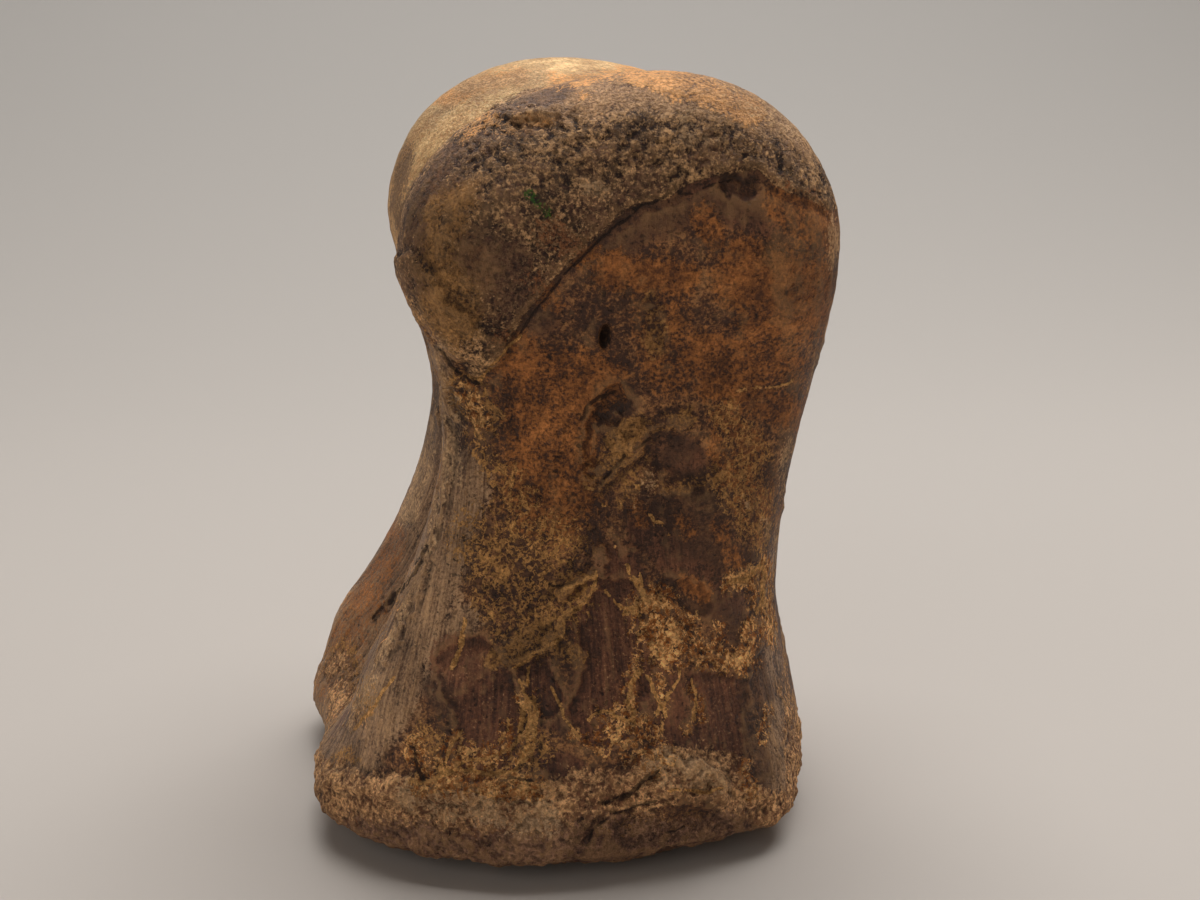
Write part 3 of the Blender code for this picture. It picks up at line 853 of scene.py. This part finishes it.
def sculpt(bone):
    place, facing = readMesh(bone)
    layers = paintBone(place, facing)
    rise = carve(place, facing, layers)
    print("marks carved")
    rise += roughen(place, layers)
    writeMesh(bone, keepInBox(place + rise[:, None] * facing))


def averageOfNeighbours(bone, place):
    ends = np.empty(len(bone.data.edges) * 2, np.int32)
    bone.data.edges.foreach_get("vertices", ends)
    start, end = ends.reshape(-1, 2).T
    total = np.zeros_like(place)
    np.add.at(total, start, place[end])
    np.add.at(total, end, place[start])
    return total / np.bincount(ends, minlength=len(place))[:, None]


def thinOut(bone):
    triangles = sum(len(face.vertices) - 2 for face in bone.data.polygons)
    if triangles > blankSettings["triangles"]:
        applyModifier(bone, "DECIMATE", ratio=blankSettings["triangles"] / triangles,
                      use_collapse_triangulate=True)
    place = readMesh(bone)[0]
    for turn in range(3):
        around = averageOfNeighbours(bone, place)
        astray = np.linalg.norm(around - place, axis=1) > blankSettings["astray"]
        place[astray] = around[astray]
        print("points pulled back:", int(astray.sum()))
    writeMesh(bone, keepInBox(place))


# A UV map of a few large islands, laid out on a smoothed copy of the same points.
def unwrapBone(bone):
    place = readMesh(bone)[0]
    smooth = place
    for turn in range(blankSettings["unwrapTurns"]):
        smooth = averageOfNeighbours(bone, smooth)
    writeMesh(bone, smooth)
    chooseOnly(bone)
    bpy.ops.object.mode_set(mode="EDIT")
    bpy.ops.mesh.select_all(action="SELECT")
    bpy.ops.uv.smart_project(angle_limit=blankSettings["unwrapAngle"],
                             island_margin=blankSettings["unwrapGap"], scale_to_bounds=True)
    bpy.ops.object.mode_set(mode="OBJECT")
    bone.data.uv_layers.active.name = "OFBake"
    writeMesh(bone, place)


# How deep each point lies below the points round it, from -1 on a ridge to 1 in a hollow.
def hollowness(bone, place, facing):
    around = place.copy()
    for turn in range(6):
        around = 0.5 * (around + averageOfNeighbours(bone, around))
    return np.clip(((around - place) * facing).sum(axis=1) / paintSettings["deepest"], -1, 1)


def storeLayers(bone):
    place, facing = readMesh(bone)
    layers = paintBone(place, facing)
    rim = ramp(holeReach(place), *paintSettings["unshadedRim"])
    # the hollow layer drives painted shade in hollows and painted highlights on ridges
    layers["hollow"] = hollowness(bone, place, facing) * rim
    for name, value in layers.items():
        layer = bone.data.attributes.new(name, "FLOAT", "POINT")
        layer.data.foreach_set("value", value.astype(np.float32))
    layer = bone.data.attributes.new("streakLine", "FLOAT_VECTOR", "POINT")
    layer.data.foreach_set("vector", streakLine(place).astype(np.float32).ravel())


bone = makeBlank()
print("blank ready:", len(bone.data.vertices), "points")
sculpt(bone)
print("sculpted")
thinOut(bone)
unwrapBone(bone)
print("unwrapped")
storeLayers(bone)
print("thinned and painted:", len(bone.data.polygons), "faces")
bone.data.shade_smooth()

# Pattern sizes in mm: size, detail, roughness of the noise. The real grain is near 0.3 mm, too fine to
# show, and is drawn at 0.5.
patternSizes = {
    "mottle": (16, 3, 0.55),
    "blotch": (5.5, 5, 0.66),
    "speck": (0.9, 4, 0.68),
    "grain": (0.5, 3, 0.7),
    "sponge": (0.8, 3, 0.75),
    "grit": (0.55, 2, 0.6),
}

# Patterns mixed from those: first, second and its share, third and its share.
patternMixes = {
    "frayed": ("blotch", "speck", 0.5, "grain", 0.35),
    "fine": ("speck", "grain", 0.55, "blotch", 0.2),
    "striped": ("streak", "mottle", 0.3, "grain", 0.35),
}

patternSettings = {
    "usual": (0.34, 0.66),  # most values of a noise lie between these
    "mixed": (0.26, 0.74),
    "flecks": (0.36, 0.7),
    "fleckShare": 0.3,  # of the blotches among the flecks
    "streakScale": 1.9,
    "bendScale": 0.9,
    "bend": 2.2,  # mm that strands and pores are pulled out of their rows
    "laceSize": 1.6,  # mm between curling strands
    "strand": 0.09,
    "strandShare": 0.35,  # of the frayed pattern among the strands
}

# Coats from the bone outwards. For each: the pattern that breaks up its edge and by how much; where it
# starts, where it is whole and how much it then hides; its dark and light colours and the pattern that
# mixes them; its roughness, its thickness in mm and how far that pattern stands up from it in mm.
boneCoats = {
    "taupe": (("frayed", 0.6), (0.35, 0.75, 0.95), ("#664731", "#c09870", "striped"), (0.5, 0.0, 0.0)),
    "smooth": (("frayed", 0.5), (0.4, 0.6, 0.95), ("#47281b", "#875539", "striped"), (0.5, -0.02, 0.0)),
    "dark": (("frayed", 1.1), (0.4, 0.75, 0.85), ("#2a1c15", "#67442d", "fine"), (0.55, -0.02, 0.0)),
    "rust": (("fine", 0.75), (0.15, 0.8, 0.85), ("#6b3f22", "#ba7439", "frayed"), (0.65, 0.03, 0.04)),
    "ochre": (("lace", 1.7), (0.5, 0.85, 0.95), ("#744726", "#d9a05c", "lace"), (0.75, 0.06, 0.08)),
    "grain": (("frayed", 0.7), (0.4, 0.7, 0.9), ("#80553a", "#f3bb82", "flecked"), (0.85, 0.05, 0.12)),
    "sooty": (("frayed", 0.7), (0.35, 0.8, 0.85), ("#51352a", "#977059", "fine"), (0.75, 0.0, 0.1)),
    "onCap": (("frayed", 0.4), (0.4, 0.6, 1.0), ("#40271a", "#dcaa75", "flecked"), (0.65, 0.1, 0.12)),
    "dusty": (("frayed", 0.9), (0.35, 0.8, 0.9), ("#8a6242", "#dfb081", "fine"), (0.7, 0.0, 0.0)),
    "olive": (("frayed", 1.0), (0.4, 0.7, 0.9), ("#64411f", "#b9854a", "fine"), (0.65, 0.0, 0.06)),
    "farCap": (("frayed", 0.5), (0.3, 0.7, 0.95), ("#c68f58", "#ffd899", "frayed"), (0.55, 0.0, 0.0)),
    "capDark": (("frayed", 0.8), (0.4, 0.8, 0.85), ("#36221b", "#714c36", "fine"), (0.6, 0.0, 0.0)),
    "capRust": (("fine", 1.0), (0.35, 0.9, 0.85), ("#6e4028", "#ad6f42", "fine"), (0.65, 0.0, 0.0)),
    "bloom": (("frayed", 1.4), (0.45, 0.7, 0.95), ("#b67c47", "#f8b36c", "fine"), (0.65, 0.03, 0.0)),
    "pale": (("frayed", 1.1), (0.4, 0.8, 0.7), ("#8f6a48", "#d9b285", "fine"), (0.8, 0.02, 0.0)),
    "crust": (("lace", 1.5), (0.42, 0.56, 1.0), ("#9a5a29", "#ffc27b", "flecked"), (0.9, 0.16, 0.15)),
    "line": (("grain", 0.45), (0.45, 0.6, 0.95), ("#a87038", "#f6bb72", "grain"), (0.9, 0.12, 0.05)),
    "crack": (("grain", 0.7), (0.5, 0.75, 0.85), ("#120b08", "#2a1a12", "grain"), (0.8, -0.25, 0.0)),
    "salt": (("grain", 1.0), (0.85, 1.0, 0.7), ("#9a6c45", "#d9ab7a", "speck"), (0.8, 0.03, 0.0)),
    # hole: painted shade, a near black coat inside the vessel hole
    "hole": (("grain", 0.2), (0.35, 0.7, 0.85), ("#0f0906", "#1d120c", "grain"), (0.8, 0.0, 0.0)),
    "green": (("grain", 0.9), (0.45, 0.65, 0.9), ("#17400f", "#4f8026", "grain"), (0.7, 0.02, 0.0)),
}

mineralSettings = {
    "capSeam": (-0.6, 0.9),  # mm from the cap's edge, from shaft to cap
    "shaftTones": ((0.22, "#462c1e"), (0.42, "#63402a"), (0.6, "#855836"), (0.82, "#ad7a4a")),
    "bareMix": (0.3, 0.35),  # of the mottle, then of the fine pattern, in the bare bone's tone
    "poreColour": "#1f130c",
    "hollowShadeColour": "#1e130d",
    "ridgeHighlightColour": "#c2935f",
    "poreSize": 0.8,  # mm, as the next two
    "pitSize": 1.2,
    "dotSize": 1.2,
    "poreEdge": (0.42, 0.3),  # from the rim of a hole to its floor
    "dotEdge": (0.25, 0.15),
    "poreDepth": -0.3,  # mm
    "skinRelief": 0.13,
    "streakRelief": 0.04,
    "roughness": (0.5, 0.68),
    "refraction": 1.55,  # apatite and calcite
    "polish": 0.3,
    "hollowShadeStrength": 0.5,  # how far painted shade darkens the hollows, and a painted highlight lightens the ridges
    "ridgeHighlightStrength": 0.3,
    "cloudy": (0.8, 1.2),  # how far the broad and the small patches darken and lighten
    "patchy": (0.86, 1.14),
    "grit": (0.1, 0.42),  # contrast of the grit on smooth and on rough coats
    "firstTouch": (0.03, 0.2),  # how much of a layer there must be before its coat shows
    "lineHalfWidth": 0.55,  # mm
    "saltShare": 0.5,
    "wornHoles": 0.25,  # share of the holes left where the cap is smooth or dusty
    "holePatches": (0.9, 0.2),
    "shadedHollow": (0.1, 0.9),
    "highlightedRidge": (-0.15, -0.9),
}


def makePatterns(tree, place):
    settings = patternSettings
    pattern = {}
    for name, (size, detail, rough) in patternSizes.items():
        cloudy = addNoise(tree, place, 1 / size, detail, rough)
        pattern[name] = stretch(tree, cloudy, *settings["usual"])
    along = addNode(tree, "Attribute", attribute_name="streakLine").outputs["Vector"]
    streaky = addNoise(tree, along, settings["streakScale"], 4, 0.68)
    pattern["streak"] = stretch(tree, streaky, *settings["usual"])
    for name, (first, second, share, third, thirdShare) in patternMixes.items():
        mixed = blend(tree, share, pattern[first], pattern[second])
        mixed = blend(tree, thirdShare, mixed, pattern[third])
        pattern[name] = stretch(tree, mixed, *settings["mixed"])
    mixed = blend(tree, settings["fleckShare"], pattern["sponge"], pattern["blotch"])
    pattern["flecked"] = stretch(tree, mixed, *settings["flecks"])
    return pattern


# The place in mm, pulled about, so that strands and pores don't lie in rows.
def bendPlace(tree, place):
    pull = addNoise(tree, place, patternSettings["bendScale"], 3, 0.65, output="Color")
    bend = {0: pull, 1: (patternSettings["bend"],) * 3, 2: place}
    return addNode(tree, "VectorMath", bend, operation="MULTIPLY_ADD").outputs[0]


# Curling strands: thin bands where a noise passes through its middle.
def makeLace(tree, bent, frayed):
    settings = patternSettings
    lace = addNoise(tree, bent, 1 / settings["laceSize"], 2, 0.6)
    lace = maths(tree, "ABSOLUTE", maths(tree, "ADD", lace, -0.5))
    lace = stretch(tree, lace, settings["strand"], 0.0)
    return blend(tree, settings["strandShare"], lace, frayed)


# Layers worked out from the stored ones.
def addLayers(tree, layer):
    settings = mineralSettings
    layer["onCap"] = stretch(tree, layer["cap"], *settings["capSeam"])
    for name, stain in (("capDark", "dark"), ("capRust", "rust")):
        layer[name] = maths(tree, "MULTIPLY", layer[stain], layer["onCap"])
    layer["salt"] = stretch(tree, layer["smooth"], newHigh=settings["saltShare"])
    edge = settings["lineHalfWidth"]
    for name in ("line", "crack"):
        width = stretch(tree, maths(tree, "ABSOLUTE", layer[name]), edge, 0.05)
        close = stretch(tree, layer[name + "Gap"], edge, 0.4)
        layer[name] = maths(tree, "MULTIPLY", width, close)


# Bare bone under the coats: its colour, roughness and height.
def makeBareBone(tree, pattern):
    settings = mineralSettings
    broad, fine = settings["bareMix"]
    mixed = blend(tree, broad, pattern["frayed"], pattern["mottle"])
    mixed = blend(tree, fine, mixed, pattern["fine"])
    tones = addNode(tree, "ValToRGB", {"Fac": mixed})
    spare = list(tones.color_ramp.elements)
    for position, hexCode in settings["shaftTones"]:
        stop = spare.pop(0) if spare else tones.color_ramp.elements.new(position)
        stop.position = position
        stop.color = linearColour(hexCode)
    roughness = stretch(tree, pattern["speck"], 0, 1, *settings["roughness"])
    height = maths(tree, "MULTIPLY", pattern["fine"], settings["skinRelief"])
    height = maths(tree, "MULTIPLY_ADD", pattern["streak"], settings["streakRelief"], height)
    return tones.outputs["Color"], roughness, height


# How much a coat hides: its layer, with the edge broken up by a pattern.
def coverOf(tree, amount, edge, limits, pattern):
    edgePattern, ragged = edge
    start, whole, most = limits
    shift = maths(tree, "ADD", pattern[edgePattern], -0.5)
    spread = maths(tree, "MULTIPLY_ADD", shift, ragged, amount)
    cover = stretch(tree, spread, start, whole, 0, most, interpolation_type="SMOOTHSTEP")
    touch = stretch(tree, amount, *mineralSettings["firstTouch"])
    return maths(tree, "MULTIPLY", cover, touch)


def addCoat(tree, surface, cover, colours, finish, pattern):
    colour, roughness, height = surface
    dark, light, mixedBy = colours
    coatRoughness, thick, relief = finish
    tint = blendColours(tree, pattern[mixedBy], linearColour(dark), linearColour(light))
    colour = blendColours(tree, cover, colour, tint)
    roughness = blend(tree, cover, roughness, coatRoughness)
    height = maths(tree, "MULTIPLY_ADD", cover, thick, height)
    if relief:
        grainy = maths(tree, "MULTIPLY", cover, pattern[mixedBy])
        height = maths(tree, "MULTIPLY_ADD", grainy, relief, height)
    return colour, roughness, height


# Small dark dots on the shaft, close pores on the cap, fewer on its smooth far knuckle.
def makeHoles(tree, bent, layer, pattern):
    settings = mineralSettings
    holes = {}
    for name, edge in (("pore", "poreEdge"), ("pit", "poreEdge"), ("dot", "dotEdge")):
        cells = addNode(tree, "TexVoronoi", {"Vector": bent, "Scale": 1 / settings[name + "Size"]})
        holes[name] = stretch(tree, cells.outputs["Distance"], *settings[edge])
    pits = maths(tree, "MULTIPLY", holes["pit"], layer["coarse"])
    pits = maths(tree, "MAXIMUM", pits, holes["pore"])
    both = blend(tree, layer["onCap"], holes["dot"], pits)
    worn = maths(tree, "MAXIMUM", layer["farCap"], layer["dusty"])
    both = maths(tree, "MULTIPLY", both, stretch(tree, worn, 0, 1, 1, settings["wornHoles"]))
    patchy = stretch(tree, pattern["blotch"], 0, 1, *settings["holePatches"])
    return maths(tree, "MULTIPLY", both, patchy)


# Broad clouds, small patches and grit over all the coats, then painted shade in the hollows and painted
# highlights on the ridges.
def shadeAll(tree, colour, roughness, holes, layer, pattern):
    settings = mineralSettings
    shades = (
        (holes, settings["poreColour"]),
        # painted shade in the hollows, then a painted highlight on the ridges
        (stretch(tree, layer["hollow"], *settings["shadedHollow"], 0, settings["hollowShadeStrength"]),
         settings["hollowShadeColour"]),
        (stretch(tree, layer["hollow"], *settings["highlightedRidge"], 0, settings["ridgeHighlightStrength"]),
         settings["ridgeHighlightColour"]),
    )
    cloudy = stretch(tree, pattern["mottle"], 0, 1, *settings["cloudy"])
    patches = stretch(tree, pattern["blotch"], 0, 1, *settings["patchy"])
    gritty = stretch(tree, roughness, 0.5, 0.75, *settings["grit"])
    grit = stretch(tree, pattern["grit"], 0.25, 0.75, -0.5, 0.5)
    grit = maths(tree, "MULTIPLY_ADD", grit, gritty, 1.0)
    for shade in (cloudy, patches, grit):
        colour = blendColours(tree, 1.0, colour, shade, "MULTIPLY")
    for cover, hexCode in shades:
        colour = blendColours(tree, cover, colour, linearColour(hexCode))
    return colour


def makeMineralisedBone():
    settings = mineralSettings
    # fossil apatite, stained by iron and broken out of the ground: dull with a faint polish
    material = bpy.data.materials.new("mineralisedBone")
    material.use_nodes = True
    tree = material.node_tree
    shader = tree.nodes["Principled BSDF"]
    shader.inputs["IOR"].default_value = settings["refraction"]
    shader.inputs["Specular IOR Level"].default_value = settings["polish"]
    seat = addNode(tree, "TexCoord").outputs["Object"]
    perMetre = (1 / millimetre,) * 3
    place = addNode(tree, "VectorMath", {0: seat, 1: perMetre}, operation="MULTIPLY").outputs[0]  # mm
    layer = {}
    lineLayers = ["line", "lineGap", "crack", "crackGap"]
    for name in [*paintMarks, "cap", "farCap", *lineLayers, "hollow", "hole"]:
        layer[name] = addNode(tree, "Attribute", attribute_name=name).outputs["Fac"]
    pattern = makePatterns(tree, place)
    bent = bendPlace(tree, place)
    pattern["lace"] = makeLace(tree, bent, pattern["frayed"])
    addLayers(tree, layer)
    surface = makeBareBone(tree, pattern)
    for name, (edge, limits, colours, finish) in boneCoats.items():
        cover = coverOf(tree, layer[name], edge, limits, pattern)
        surface = addCoat(tree, surface, cover, colours, finish, pattern)
    colour, roughness, height = surface
    holes = makeHoles(tree, bent, layer, pattern)
    colour = shadeAll(tree, colour, roughness, holes, layer, pattern)
    height = maths(tree, "MULTIPLY_ADD", holes, settings["poreDepth"], height)
    bump = addNode(tree, "Bump", {"Height": height, "Distance": millimetre, "Strength": 1.0})
    tree.links.new(colour, shader.inputs["Base Color"])
    tree.links.new(roughness, shader.inputs["Roughness"])
    tree.links.new(bump.outputs["Normal"], shader.inputs["Normal"])
    return material


bone.data.materials.append(makeMineralisedBone())
print("bone finished")

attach(bone, "root")
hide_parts("toe_bone")
